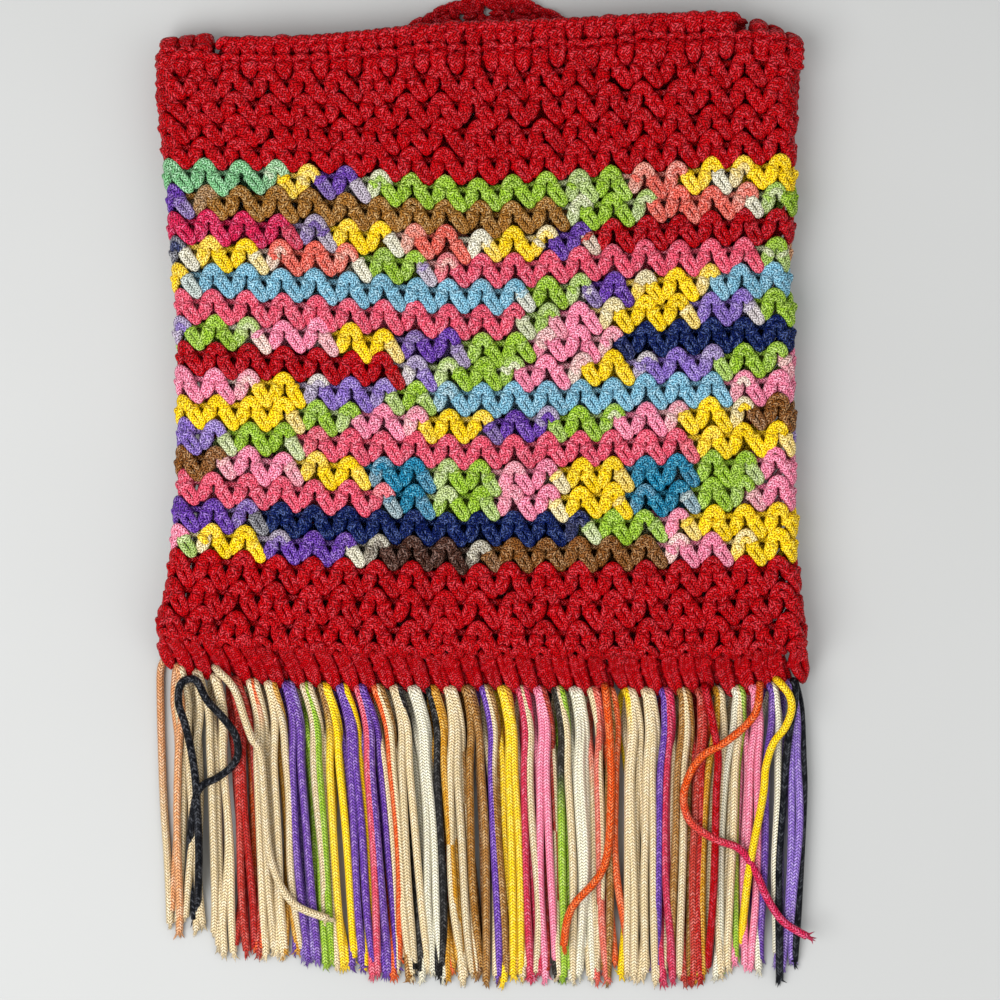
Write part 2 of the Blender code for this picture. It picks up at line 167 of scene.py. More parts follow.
@dataclass(frozen=True)
class CordFinish:
    """Glossy knitted cord: V facets along the cord, with painted highlights on some facets and painted shade
    between them.

    Args:
        name: Name of the material.
        gauge: Length of one facet along the cord.
        wales: Number of V columns round the cord.
        roughness: Roughness of the facets.
        glint_share: Share of facets painted with a paler highlight colour, as if they catch the light.
        glint_paleness: Power that turns the dye into the paler colour of those painted highlights.
        painted_groove_shade: Brightness of the shade painted between the facets.
    """

    name: str
    gauge: float = 0.0012
    wales: int = 4
    roughness: float = 0.4
    glint_share: float = 0.7
    glint_paleness: float = 0.5
    painted_groove_shade: float = 0.3

    def material(self) -> Material:
        """Build the procedural material."""
        made, wires, shader = start_material(self.name)
        along, around = wires.split(wires.node("ShaderNodeUVMap", uv_map="UVMap").outputs[0])
        tint = wires.node("ShaderNodeAttribute", attribute_name="tint").outputs["Color"]
        seed = wires.node("ShaderNodeAttribute", attribute_name="seed").outputs["Fac"]

        wale = wires.math("MULTIPLY", around, float(self.wales))
        off_centre = wires.math("MULTIPLY", wires.math("PINGPONG", wale, 0.5), 2.0)
        slope = wires.math("MULTIPLY", off_centre, 0.9)
        row = wires.math("MULTIPLY_ADD", along, 1.0 / self.gauge, slope)
        bulge = wires.math("SINE", wires.math("MULTIPLY", wires.math("FRACT", row), np.pi))
        ridge = wires.math("SINE", wires.math("MULTIPLY", off_centre, np.pi))
        ridge = wires.math("MULTIPLY_ADD", ridge, 0.45, 0.55)
        facet = wires.math("MULTIPLY", wires.math("POWER", bulge, 0.7), ridge)

        half_wale = wires.math("FLOOR", wires.math("MULTIPLY", wale, 2.0))
        cell = wires.join(wires.math("FLOOR", row), half_wale, seed)
        luck = wires.node("ShaderNodeTexWhiteNoise", {"Vector": cell}, noise_dimensions="3D").outputs["Value"]

        # Painted shade: the dye darkened and deepened between the facets, where the knit's grooves would be
        # in shadow
        shade = (self.painted_groove_shade, self.painted_groove_shade, self.painted_groove_shade, 1.0)
        painted_groove_colour = wires.mix("MULTIPLY", 1.0, wires.gamma(tint, 1.6), shade)
        # Painted highlights: a paler dye on a share of the facets, standing in for light glinting off them
        pale = wires.gamma(tint, self.glint_paleness)
        glint = wires.math("MULTIPLY", wires.ramp(luck, 1.0 - self.glint_share, 1.0), facet)
        painted_glint_colour = wires.mix("MIX", glint, tint, pale)
        bump = wires.node("ShaderNodeBump", {"Strength": 0.8, "Distance": 0.0004, "Height": facet})
        looks = {
            "Base Color": wires.mix("MIX", wires.ramp(facet, 0.28, 0.78), painted_groove_colour, painted_glint_colour),
            "Specular IOR Level": wires.math("MULTIPLY_ADD", glint, 0.5, 0.04),
            "Roughness": wires.math("MULTIPLY_ADD", luck, 0.2, self.roughness - 0.1),
            "Normal": bump.outputs["Normal"],
        }
        for name, source in looks.items():
            wires.link(source, shader.inputs[name])
        return made


# The red bands' and the strap's cord has fewer and less pale painted highlights, and lighter painted shade
# between facets, than the others
RED_LOOKS = {"glint_share": 0.6, "glint_paleness": 0.62, "painted_groove_shade": 0.42}


class CordSweep:
    """The Geometry Nodes tree that turns strands into tubes of knitted cord."""

    def __init__(self) -> None:
        """Build the tree once, for every piece."""
        self.tree = bpy.data.node_groups.new("cord sweep", "GeometryNodeTree")
        face = self.tree.interface
        face.new_socket("Strands", in_out="INPUT", socket_type="NodeSocketGeometry")
        self.radius = face.new_socket("Cord radius", in_out="INPUT", socket_type="NodeSocketFloat")
        self.sides = face.new_socket("Sides", in_out="INPUT", socket_type="NodeSocketInt")
        self.finish = face.new_socket("Finish", in_out="INPUT", socket_type="NodeSocketMaterial")
        face.new_socket("Cord", in_out="OUTPUT", socket_type="NodeSocketGeometry")
        wires = Wires(self.tree)
        strands, radius, sides, finish = wires.node("NodeGroupInput").outputs[:4]

        lines = wires.node("GeometryNodeMeshToCurve", {"Mesh": strands})
        corners = wires.math("ADD", sides, 1.0)
        inputs = {"Resolution": corners, "Radius": 1.0, "Sweep Angle": 2 * np.pi}
        ring = wires.node("GeometryNodeCurveArc", inputs).outputs["Curve"]
        turned = wires.node("GeometryNodeSplineParameter").outputs["Factor"]
        tube = wires.node("GeometryNodeCurveToMesh", {
            "Curve": lines.outputs["Curve"],
            "Profile Curve": self.store(wires, ring, "around", turned, "FLOAT", "POINT"),
            "Scale": wires.math("MULTIPLY", radius, self.read(wires, "swell")),
        })
        knit = wires.join(self.read(wires, "along"), self.read(wires, "around"))
        cord = self.store(wires, tube.outputs["Mesh"], "UVMap", knit, "FLOAT2", "CORNER")
        for kind, more in (
            ("GeometryNodeMergeByDistance", {"Distance": wires.math("MULTIPLY", radius, 0.01)}),
            ("GeometryNodeSetShadeSmooth", {}),
            ("GeometryNodeRealizeInstances", {}),
            ("GeometryNodeSetMaterial", {"Material": finish}),
        ):
            cord = wires.node(kind, {"Geometry": cord, **more}).outputs["Geometry"]
        wires.link(cord, wires.node("NodeGroupOutput").inputs[0])

    @staticmethod
    def store(wires: Wires, geometry: object, name: str, value: object, kind: str, domain: str) -> Socket:
        """The geometry with one more named attribute."""
        inputs = {"Geometry": geometry, "Name": name, "Value": value}
        made = wires.node("GeometryNodeStoreNamedAttribute", inputs, data_type=kind, domain=domain)
        return made.outputs["Geometry"]

    @staticmethod
    def read(wires: Wires, name: str) -> Socket:
        """A named float attribute."""
        made = wires.node("GeometryNodeInputNamedAttribute", {"Name": name}, data_type="FLOAT")
        return made.outputs["Attribute"]

    def piece(
        self, name: str, strands: "Strands", radius: float, sides: int, finish: Material
    ) -> Object:
        """Sweep strands into one plain mesh object.

        Args:
            name: Name of the piece.
            strands: The strands' points and what they carry.
            radius: Radius of the cord.
            sides: Sides of the tube.
            finish: The cord's material.

        Returns:
            The finished object, at the origin.
        """
        guide = bpy.data.objects.new(name + "_strands", strands.mesh(name + "_strands"))
        bpy.context.scene.collection.objects.link(guide)
        modifier = guide.modifiers.new("cord sweep", "NODES")
        modifier.node_group = self.tree
        modifier[self.radius.identifier] = radius
        modifier[self.sides.identifier] = sides
        modifier[self.finish.identifier] = finish
        graph = bpy.context.evaluated_depsgraph_get()
        mesh = bpy.data.meshes.new_from_object(guide.evaluated_get(graph), depsgraph=graph)
        mesh.name = name
        bpy.data.objects.remove(guide, do_unlink=True)
        made = bpy.data.objects.new(name, mesh)
        bpy.context.scene.collection.objects.link(made)
        return made


def smooth_path(points: Array, spans: int) -> Array:
    """Points of a smooth curve through the given points (..., n, d), spans to each step."""
    if spans == 1:
        return points
    start, end = points[..., :-1, :], points[..., 1:, :]
    before = np.concatenate([points[..., :1, :], points[..., :-2, :]], axis=-2)
    after = np.concatenate([points[..., 2:, :], points[..., -1:, :]], axis=-2)
    parts = []
    for step in range(spans):
        t = step / spans
        parts.append(
            0.5 * (2 * start + (end - before) * t
                   + (2 * before - 5 * start + 4 * end - after) * t ** 2
                   + (3 * start - before - 3 * end + after) * t ** 3)
        )
    curve = np.stack(parts, axis=-2)
    curve = curve.reshape(*curve.shape[:-3], -1, points.shape[-1])
    return np.concatenate([curve, points[..., -1:, :]], axis=-2)


class Strands:
    """Strands of cord waiting to be swept: their points, tints and seeds."""

    def __init__(self, seed: int) -> None:
        """Start empty, with a fixed seed for everything random."""
        self.dice = np.random.default_rng(seed)
        self.parts: list[tuple] = []

    def add(self, points: Array, tint: Array, swell: Array | None = None) -> None:
        """Add strands of equal length.

        Args:
            points: Positions, (strands, points, 3).
            tint: Colour of each strand, (strands, 3), or of each point, (strands, points, 3).
            swell: Share of the cord's radius at each point, (points,) or (strands, points).
        """
        count, length = points.shape[:2]
        if swell is None:
            swell = np.ones(length)
            swell[[0, -1]] = 0.0
            swell[[1, -2]] = 0.85
        steps = np.linalg.norm(np.diff(points, axis=1), axis=2)
        along = np.concatenate([np.zeros((count, 1)), np.cumsum(steps, axis=1)], axis=1)
        along += self.dice.uniform(0, 0.01, (count, 1))
        tint = np.broadcast_to(tint if tint.ndim == 3 else tint[:, None, :], (count, length, 3))
        seed = np.repeat(self.dice.integers(0, 997, (count, 1)).astype(float), length, axis=1)
        swell = np.broadcast_to(swell, (count, length))
        self.parts.append((points, tint, swell, along, seed))

    def mesh(self, name: str) -> bpy.types.Mesh:
        """A mesh of loose edges, with the strands' values as attributes."""
        edges, start = [], 0
        for part in self.parts:
            count, length = part[0].shape[:2]
            first = start + np.arange(count)[:, None] * length + np.arange(length - 1)[None, :]
            edges.append(np.stack([first, first + 1], axis=-1).reshape(-1, 2))
            start += count * length
        edges = np.concatenate(edges)
        mesh = bpy.data.meshes.new(name)
        mesh.vertices.add(start)
        mesh.edges.add(len(edges))
        gathered = [
            np.concatenate([np.asarray(part[index], np.float32).reshape(-1) for part in self.parts])
            for index in range(5)
        ]
        mesh.vertices.foreach_set("co", gathered[0])
        mesh.edges.foreach_set("vertices", edges.reshape(-1).astype(np.int32))
        colours = np.ones((start, 4), np.float32)
        colours[:, :3] = gathered[1].reshape(-1, 3)
        tint = mesh.attributes.new("tint", "FLOAT_COLOR", "POINT")
        tint.data.foreach_set("color", colours.reshape(-1))
        for attribute, values in zip(("swell", "along", "seed"), gathered[2:]):
            mesh.attributes.new(attribute, "FLOAT", "POINT").data.foreach_set("value", values)
        return mesh


def smoothstep(value: Array, start: float, end: float) -> Array:
    """Rise smoothly from 0 at start to 1 at end."""
    t = np.clip((value - start) / (end - start), 0.0, 1.0)
    return t * t * (3 - 2 * t)


@dataclass
class BagShape:
    """The flattened tube of crochet, as the solids have it, and how its rounds hang."""

    wall: float = 0.0045
    waist_inset: float = 0.0050
    waist_shift: float = 0.0024
    hem_inset: float = 0.0008
    hem_flare: float = 0.0026
    mouth_shift: float = -0.0012
    mouth_shift_below: float = 0.02
    mouth_shift_above: float = 0.03
    left_slack: float = 0.0009
    left_swell: float = 0.0028
    left_swell_y: float = 0.105
    left_swell_reach: float = 0.055
    right_dip: float = 0.0020
    right_dip_y: float = 0.080
    right_dip_reach: float = 0.016
    hem_thickness: float = 0.0070
    hem_zone: float = 0.0085
    hem_round: float = 0.0103
    knot_reach: float = 0.0066
    hem_lift_left: float = 0.0095
    hem_lift_right: float = 0.0020
    hem_lift_power: int = 6
    mouth_band: float = 0.0551
    striped_band: float = 0.14655
    hem_posts: int = 36
    hem_reach: float = 0.1188
    width: float = field(init=False)
    rim_y: float = field(init=False)
    hem_y: float = field(init=False)
    top_z: float = field(init=False)
    thickness: float = field(init=False)
    middle_z: float = field(init=False)
    stripes_top: float = field(init=False)
    stripes_bottom: float = field(init=False)
    pocket_end: float = field(init=False)

    def __post_init__(self) -> None:
        """Take the driving sizes from the solids."""
        strap_low, strap_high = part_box("shoulder_strap")
        panel_low, panel_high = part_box("striped_panel")
        self.width = strap_high.x - strap_low.x
        self.rim_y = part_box("mouth_band")[1].y
        self.hem_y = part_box("hem_band")[0].y
        self.top_z = panel_high.z
        self.thickness = self.top_z - panel_low.z
        self.middle_z = (self.top_z + panel_low.z) / 2
        self.stripes_top = self.rim_y - self.mouth_band
        self.stripes_bottom = self.stripes_top - self.striped_band
        self.pocket_end = self.hem_y + self.hem_zone + self.hem_round

    def waist(self, y: Array) -> Array:
        """1 at the waist, falling to 0 at the mouth and the hem."""
        middle = (self.rim_y + self.hem_y) / 2
        share = np.abs(y - middle) / ((self.rim_y - self.hem_y) / 2)
        return np.cos(np.pi / 2 * np.minimum(share, 1.0))

    def half_width(self, y: Array) -> Array:
        """Half the bag's width at height y."""
        corner = smoothstep(y, self.pocket_end, self.hem_y)
        flare = self.hem_flare * smoothstep(y, self.stripes_bottom, self.pocket_end)
        return self.width / 2 - self.waist_inset * self.waist(y) - self.hem_inset * corner + flare

    def flatness(self, y: Array) -> Array:
        """0 on the open tube, 1 where its walls are pressed together at the hem."""
        return smoothstep(y, self.pocket_end, self.hem_y + self.hem_zone)

    def hang(self, across: Array, y: Array) -> Array:
        """How far the rounds hang from their even places, at a share of the half width."""
        places = (-1.0, -0.75, -0.55, -0.4, -0.22, -0.08, 0.0, 0.12, 0.3, 0.5, 0.7, 0.85, 1.0)
        rim = MM * np.array([-5.5, -6.5, -6.0, -4.5, -2.0, -0.6, -0.3, 0.0, 1.0, 2.4, 3.0, 3.0, 2.0])
        top = MM * np.array([2.2, 1.4, 0.2, -1.6, -3.6, -4.7, -5.0, -4.2, -2.0, 0.4, 2.0, 2.8, 3.2])
        bottom = MM * np.array([2.0, 0.6, -1.2, -2.4, -3.4, -3.7, -3.8, -3.7, -3.4, -2.8, -1.8, -0.8, 0.0])
        hem = MM * np.array([-1.8, -2.0, -2.4, -2.8, -3.2, -3.3, -3.3, -3.4, -3.8, -4.2, -4.2, -3.6, -2.6])
        levels = [self.hem_y, self.stripes_bottom, self.stripes_top, self.rim_y]
        found = [np.interp(across, places, line) for line in (hem, bottom, top, rim)]
        hang = found[0]
        for index in range(3):
            start, end = levels[index:index + 2]
            share = np.clip((y - start) / (end - start), 0, 1)
            hang = hang + (found[index + 1] - found[index]) * share
        return hang

    def section(self, y: Array) -> tuple[Array, Array]:
        """Thickness of the flat tube at height y, and its folds' radius to the wall's middle."""
        thick = self.thickness + (self.hem_thickness - self.thickness) * self.flatness(y)
        return thick, thick / 2 - np.minimum(self.wall, thick / 2) / 2

    def girth(self, y: Array) -> Array:
        """Length once round the tube, along the middle of its wall."""
        thick, radius = self.section(y)
        return 4 * (self.half_width(y) - thick / 2) + 2 * np.pi * radius

    def place(self, turn: Array, y: Array, out: Array) -> Array:
        """World place of points on the tube.

        Args:
            turn: Share of the way round, 0 in the middle of the front, 0.25 near the right fold.
            y: Even height of the point.
            out: Distance outwards from the wall's middle.

        Returns:
            Positions, with one more axis than the arguments.
        """
        turn = (turn + 0.5) % 1.0 - 0.5
        thick, radius = self.section(y)
        middle = self.middle_z + (self.knot_reach - self.middle_z) * self.flatness(y)
        flat = self.half_width(y) - thick / 2
        arc = np.pi * radius
        along = np.abs(turn) * (4 * flat + 2 * arc)
        angle = np.clip((along - flat) / radius, 0, np.pi)
        x = np.where(along <= flat, along, np.where(along >= flat + arc, 2 * flat + arc - along, flat))
        x = np.sign(turn) * (x + (radius + out) * np.sin(angle))
        across = x / (self.width / 2)
        x = x + self.waist_shift * self.waist(y)
        shift_start = self.stripes_top - self.mouth_shift_below
        x = x + self.mouth_shift * smoothstep(y, shift_start, self.stripes_top + self.mouth_shift_above)
        left = ((y - self.left_swell_y) / self.left_swell_reach) ** 2
        right = ((y - self.right_dip_y) / self.right_dip_reach) ** 2
        swell = self.left_swell * np.exp(-left) + self.left_slack
        dip = self.right_dip * np.exp(-right)
        x = x - smoothstep(-across, 0.4, 1.0) * swell - smoothstep(across, 0.6, 1.0) * dip
        share = np.maximum((self.stripes_bottom - y) / (self.stripes_bottom - self.hem_y), 0.0) ** 2
        lift = np.where(across < 0, self.hem_lift_left, self.hem_lift_right)
        settled = share * lift * np.abs(across) ** self.hem_lift_power
        z = middle + (radius + out) * np.cos(angle)
        return np.stack([x, y + settled + self.hang(across, y), z], axis=-1)

    def stitch_turns(self, halves: bool) -> Array:
        """Places round the tube of every V stitch, or of every post, two to a V."""
        start = FIRST_STITCH_X / self.girth(np.array(0.0))
        count = STITCHES_ROUND * (2 if halves else 1)
        return (start + np.arange(count) / count + 0.5) % 1.0 - 0.5


def trace(chart: str) -> Array:
    """Points of a path written as "-12.6 26.5 -3, -13.2 21.5 1"."""
    return np.array([point.split() for point in chart.split(", ")], float)


@dataclass(frozen=True)
class StrandPath:
    """One strand of a stitch on the stitch grid: steps right, up and outwards.

    Args:
        half: -1 or 1 for the left or right half of the stitch, which gives the colour.
        points: The strand's points.
    """

    half: int
    points: Array


V_STITCH = (
    StrandPath(-1, trace(
        "-12.6 26.5 -3, -13.2 21.5 1, -12.2 16 2.8, -8.4 10.5 3.4, -4.2 5.6 2.8, -0.2 3.4 1.6, "
        "2.2 6.4 2.6, 0 11.4 3.4, -3.8 16.4 3.6, -6.6 21 2.4, -8 26 -2.5"
    )),
    StrandPath(-1, trace("-15.4 14.5 -2, -12.8 16.6 3.4, -9.4 19 5.4, -6.4 21.2 4.4, -4.6 22.2 -1")),
    StrandPath(1, trace(
        "9.5 26.5 -2.5, 8 21.5 2.2, 6.2 17 3.2, 4.6 12.5 2.2, 5.4 9.2 0.6, 8.2 8.6 1.6, 11.2 12 3, "
        "13.4 17 3.2, 14 22 1.2, 13 26.5 -3"
    )),
    StrandPath(1, trace("15.6 15 -2, 13.2 17 3.4, 10.2 19.4 5.2, 7.4 21.6 4.2, 5.6 22.6 -1")),
    StrandPath(1, trace(
        "8.2 17 -3.5, 8.8 23.6 1.6, 11.8 29.8 3.6, 18 33.4 4.2, 24.2 29.8 3.6, 27.2 23.6 1.6, "
        "27.8 17 -3.5"
    )),
    StrandPath(1, trace(
        "11 16 -3, 12 21.6 2, 14.4 25.6 3.6, 18 27.2 4.2, 21.6 25.6 3.6, 24 21.6 2, 25 16 -3"
    )),
    StrandPath(1, trace("-19 24.5 -5.5, -9 25 -6.5, 0 25 -6.5, 9 25 -6.5, 19 24.5 -5.5")),
)

POST = (
    StrandPath(-1, trace(
        "-3.6 26 -2, -4.4 19.5 2.4, -4.2 13.5 3.4, -3.2 7.4 2, 0 3.6 -0.6, 3.2 7.4 2, 4.2 13.5 3.4, "
        "4.4 19.5 2.4, 3.6 26 -2"
    )),
    StrandPath(-1, trace("-9 12.6 -2.5, -5.6 14.4 3.6, 0 16.6 5.4, 5.6 18.6 3.6, 8.8 19.6 -2.5")),
    StrandPath(-1, trace("-10.5 22 -1.5, -6.2 25 3.4, 0 27.4 5, 6.2 25.2 3.4, 10.5 21.6 -1.5")),
    StrandPath(-1, trace("-10 22.6 -5, 0 22.6 -6, 10 22.6 -5")),
    StrandPath(-1, trace("9 4 -5, 9 13 -5.5, 9 22 -5")),
    StrandPath(-1, trace("0.6 4.5 0.5, -0.6 11 2.8, 0.4 18 3.4, -0.4 24 1")),
)


@dataclass(frozen=True)
class Round:
    """One round of crochet.

    Args:
        base: Even height of its stitches' lower tips.
        height: Height that the stitch grid is stretched to.
        posts: True for plain posts, False for V stitches.
        slant: How far a stitch leans to the right over its height, in grid steps.
        joined: True for the one row of posts that joins both walls at the hem.
    """

    base: float
    height: float = ROUND_HEIGHT
    posts: bool = False
    slant: float = 0.0
    joined: bool = False


@dataclass
class Crochet:
    """Lays rounds of stitches on the bag's walls."""

    shape: BagShape
    looseness: float = 0.95
    front_spans: int = 2
    back_spans: int = 1
    back_skip: float = 0.004
    past_fold: float = 0.2528

    def lay(self, strands: Strands, work: Round, tints: "ColourRun", skip: float = 0.0) -> None:
        """Add one round's strands.

        Args:
            strands: Where the strands go.
            work: The round.
            tints: The cord's colours round the bag.
            skip: Distance from the middle past which no stitch is made, 0 for none.
        """
        shape = self.shape
        turns = shape.stitch_turns(work.posts)
        step = 1 / GRID_ACROSS / STITCHES_ROUND
        if work.joined:
            reach = shape.hem_reach / shape.girth(np.array(shape.hem_y))
            turns = np.linspace(-reach, reach, shape.hem_posts)
            step = (turns[1] - turns[0]) * 2 / GRID_ACROSS
        on_front = np.abs(turns) < FRONT_REACH
        for chosen, spans in ((turns[on_front], self.front_spans), (turns[~on_front], self.back_spans)):
            if skip:
                middle = shape.place(chosen, np.full(chosen.shape, work.base), np.zeros(chosen.shape))
                kept = np.where(np.abs(chosen) < FOLD_TURN, skip, skip + self.back_skip)
                chosen = chosen[np.abs(middle[:, 0]) < kept]
            shift = strands.dice.normal(0, self.looseness, (len(chosen), 1, 3))
            for path in POST if work.posts else V_STITCH:
                grid = smooth_path(path.points, spans)[None, :, :]
                wander = strands.dice.normal(0, self.looseness * 0.5, (len(chosen), 1, 3))
                steps = grid + shift + wander
                lean = work.slant * (0.5 - steps[..., 1] / GRID_UP)
                turn = chosen[:, None] + (steps[..., 0] + lean) * step
                if work.joined:
                    turn = np.clip(turn, -self.past_fold, self.past_fold)
                y = work.base + steps[..., 1] * work.height / GRID_UP
                points = shape.place(turn, y, steps[..., 2] * GRID_STEP)
                legs = chosen + path.half * 0.25 / STITCHES_ROUND
                strands.add(points, tints.at(legs, strands.dice))


@dataclass
class ColourRun:
    """The colours of one round's cord, from the left fold across the front.

    Args:
        chart: Colours and stitches, such as "mint 3, yellow 1".
        fade: Width in stitches of the undyed stretch between two colours.
        bleach: The most that such a stretch is undyed.
        batch: The least and the most brightness of the dye.
    """

    chart: str
    fade: float = 0.22
    bleach: float = 0.85
    batch: tuple = (0.86, 1.12)

    def at(self, turns: Array, dice: np.random.Generator) -> Array:
        """The tint of each strand at the given places round the tube."""
        names, counts = zip(*(entry.rsplit(maxsplit=1) for entry in self.chart.split(", ")))
        ends = np.cumsum([float(count) for count in counts])
        share = 2 * ((turns + FOLD_TURN) % 1.0)
        share = np.where(share > 1, 2 - share, share)
        place = share * ends[-1]
        index = np.minimum(np.searchsorted(ends, place, side="right"), len(names) - 1)
        dyes = np.array([Yarn[name.upper()].value for name in names])
        tint = dyes[index]
        if len(names) > 1:
            gap = np.min(np.abs(place[:, None] - ends[None, :-1]), axis=1)
            undyed = np.exp(-(gap / self.fade) ** 2) * dice.uniform(0, 1, gap.shape) * self.bleach
            tint = tint + (np.array(Yarn.WHITE.value) - tint) * undyed[:, None]
        return tint * dice.uniform(*self.batch, (len(tint), 1))


PLAIN_RED = ColourRun("red 1")

STRIPE_CHARTS = (
    "mint 3, yellow 1, violet 1.2, white .4, lime 5.8, white .3, lime 1.3, coral 1.2, yellow 1.1, "
    "white .5, yellow 1.9",
    "violet .7, tan 10.6, lime 1.9, coral 3, white .6, lime 1",
    "crimson 3.6, violet .7, yellow 1.7, white .4, coral 1.9, white .4, yellow 1.5, violet 1.3, red 6",
    "navy .3, white .4, yellow 1.7, white .4, coral 2.1, white .4, lime 1.6, lavender .4, rose 9.4, "
    "lime .5, peach .4",
    "yellow .4, sky 9.4, lime 1.4, white .4, violet 1.4, yellow 2, sky 2.6",
    "rose 9.7, lime .7, pink 1.6, yellow 2.4, lavender 1.8, lime 1.3",
    "lavender .2, lime 1.7, cream .4, pink 1.9, yellow 2, violet 1.8, lime 2, pink 2, navy 5.4",
    "red 6.4, lavender .8, lime 2, pink 1.8, yellow 1.7, lavender 2.1, lime 2, pink .5",
    "pink 1.9, yellow 1.8, lavender 2.1, lime 1.3, sky 8.4, pink 1.8",
    "yellow 3.4, lime 1.4, pink 1.8, yellow 2, violet 1.7, lime 1.8, pink 1.8, yellow 1.8, brown 1.7",
    "lavender 1.3, lime 2.1, rose 11, yellow 2.7, lavender .3",
    "brown 1.4, pink 2.1, yellow 1.9, teal 1.9, lime 1.8, pink 1.6, yellow 2, teal 1.8, lime 1.8, pink 1.3",
    "rose 5.9, teal 1.4, lime 1.8, pink 1.6, yellow 2, teal 1.8, lime 1.6, pink 1.5",
    "violet 2.2, navy 9.3, lime 2, pink .7, yellow 3.4",
    "pink .4, lime .5, yellow 1.8, violet 2.4, white .4, umber 3, brown 5.4, pink 1.8, yellow 1.9",
)


@dataclass
class BagBody:
    """The crocheted tube: the mouth band, the striped rounds and the hem band."""

    shape: BagShape
    sweep: CordSweep
    cord_radius: float = 0.00139
    red_radius: float = 0.00157
    front_sides: int = 6
    first_stripe_base: float = 0.1095
    strap_reach: float = 0.0955
    rim_girth: float = 0.498
    chain_pitch: float = 0.0038
    chain_drop: float = 0.0022
    lap: float = 0.0002
    plain_height: float = 0.0094
    plain_step: float = 0.0093
    short_height: float = 0.0072
    hem_heights: tuple = (0.0104, 0.0110, 0.0110)
    post_lap: float = 0.0034
    post_slant: float = 17.0

    def build(self) -> list[Object]:
        """Crochet every band."""
        crochet = Crochet(self.shape)
        red = CordFinish("red cord", **RED_LOOKS).material()
        space_dyed = CordFinish("space-dyed cord", glint_paleness=0.55).material()
        made = [self.mouth(crochet, red)]
        for number, chart in enumerate(STRIPE_CHARTS, 1):
            strands = Strands(100 + number)
            base = self.first_stripe_base - (number - 1) * ROUND_HEIGHT
            crochet.lay(strands, Round(base), ColourRun(chart))
            name = f"striped_round_{number:02d}"
            piece = self.sweep.piece(name, strands, self.cord_radius, self.front_sides, space_dyed)
            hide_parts("striped_panel")
            made.append(piece)
        made.append(self.hem(crochet, red))
        return made

    def mouth(self, crochet: Crochet, red: Material) -> Object:
        """Rim chain, a short and a full plain round, and four V rounds."""
        strands = Strands(1)
        stripe = self.first_stripe_base
        for index in range(1, 5):
            crochet.lay(strands, Round(stripe + index * ROUND_HEIGHT), PLAIN_RED)
        plain = stripe + 5 * ROUND_HEIGHT + self.lap
        crochet.lay(strands, Round(plain, self.plain_height, posts=True), PLAIN_RED)
        short = Round(plain + self.plain_step, self.short_height, posts=True)
        crochet.lay(strands, short, PLAIN_RED, skip=self.strap_reach)
        self.rim_chain(strands)
        piece = self.sweep.piece("mouth_band_crochet", strands, self.red_radius, self.front_sides, red)
        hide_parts("mouth_band")
        return piece

    def rim_chain(self, strands: Strands) -> None:
        """The chain along the rim, between the strap's ends."""
        folds = 0.036
        quarter = self.strap_reach / (4 * (self.shape.width / 2 - self.shape.thickness / 2) + folds)
        links = np.arange(-quarter, quarter, self.chain_pitch / self.rim_girth)
        path = trace("-1.4 -2.6 -2, -1 -1.2 1.4, 0.4 0.4 2.6, 2.6 0.8 1, 4.4 -0.4 -1.6")
        grid = smooth_path(path * MM, 2)[None]
        for middle in (0.0, 0.5):
            for flip in (1, -1):
                turn = links[:, None] + grid[..., 0] / self.rim_girth
                y = self.shape.rim_y - self.chain_drop + grid[..., 1] + np.zeros_like(turn)
                out = flip * grid[..., 2] + np.zeros_like(turn)
                points = self.shape.place(turn + middle, y, out)
                strands.add(points, PLAIN_RED.at(links, strands.dice))

    def hem(self, crochet: Crochet, red: Material) -> Object:
        """Three V rounds, then the slanted posts that the fringe is tied between."""
        strands = Strands(2)
        base = self.first_stripe_base - (len(STRIPE_CHARTS) - 1) * ROUND_HEIGHT
        for height in self.hem_heights:
            base -= height
            crochet.lay(strands, Round(base, height), PLAIN_RED)
        tip = self.shape.hem_y - self.lap
        height = base - tip + self.post_lap
        crochet.lay(strands, Round(tip, height, True, self.post_slant, joined=True), PLAIN_RED)
        piece = self.sweep.piece("hem_band_crochet", strands, self.red_radius, self.front_sides, red)
        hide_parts("hem_band")
        return piece


def unit(vectors: Array) -> Array:
    """The vectors at length 1."""
    return vectors / np.linalg.norm(vectors, axis=-1, keepdims=True)


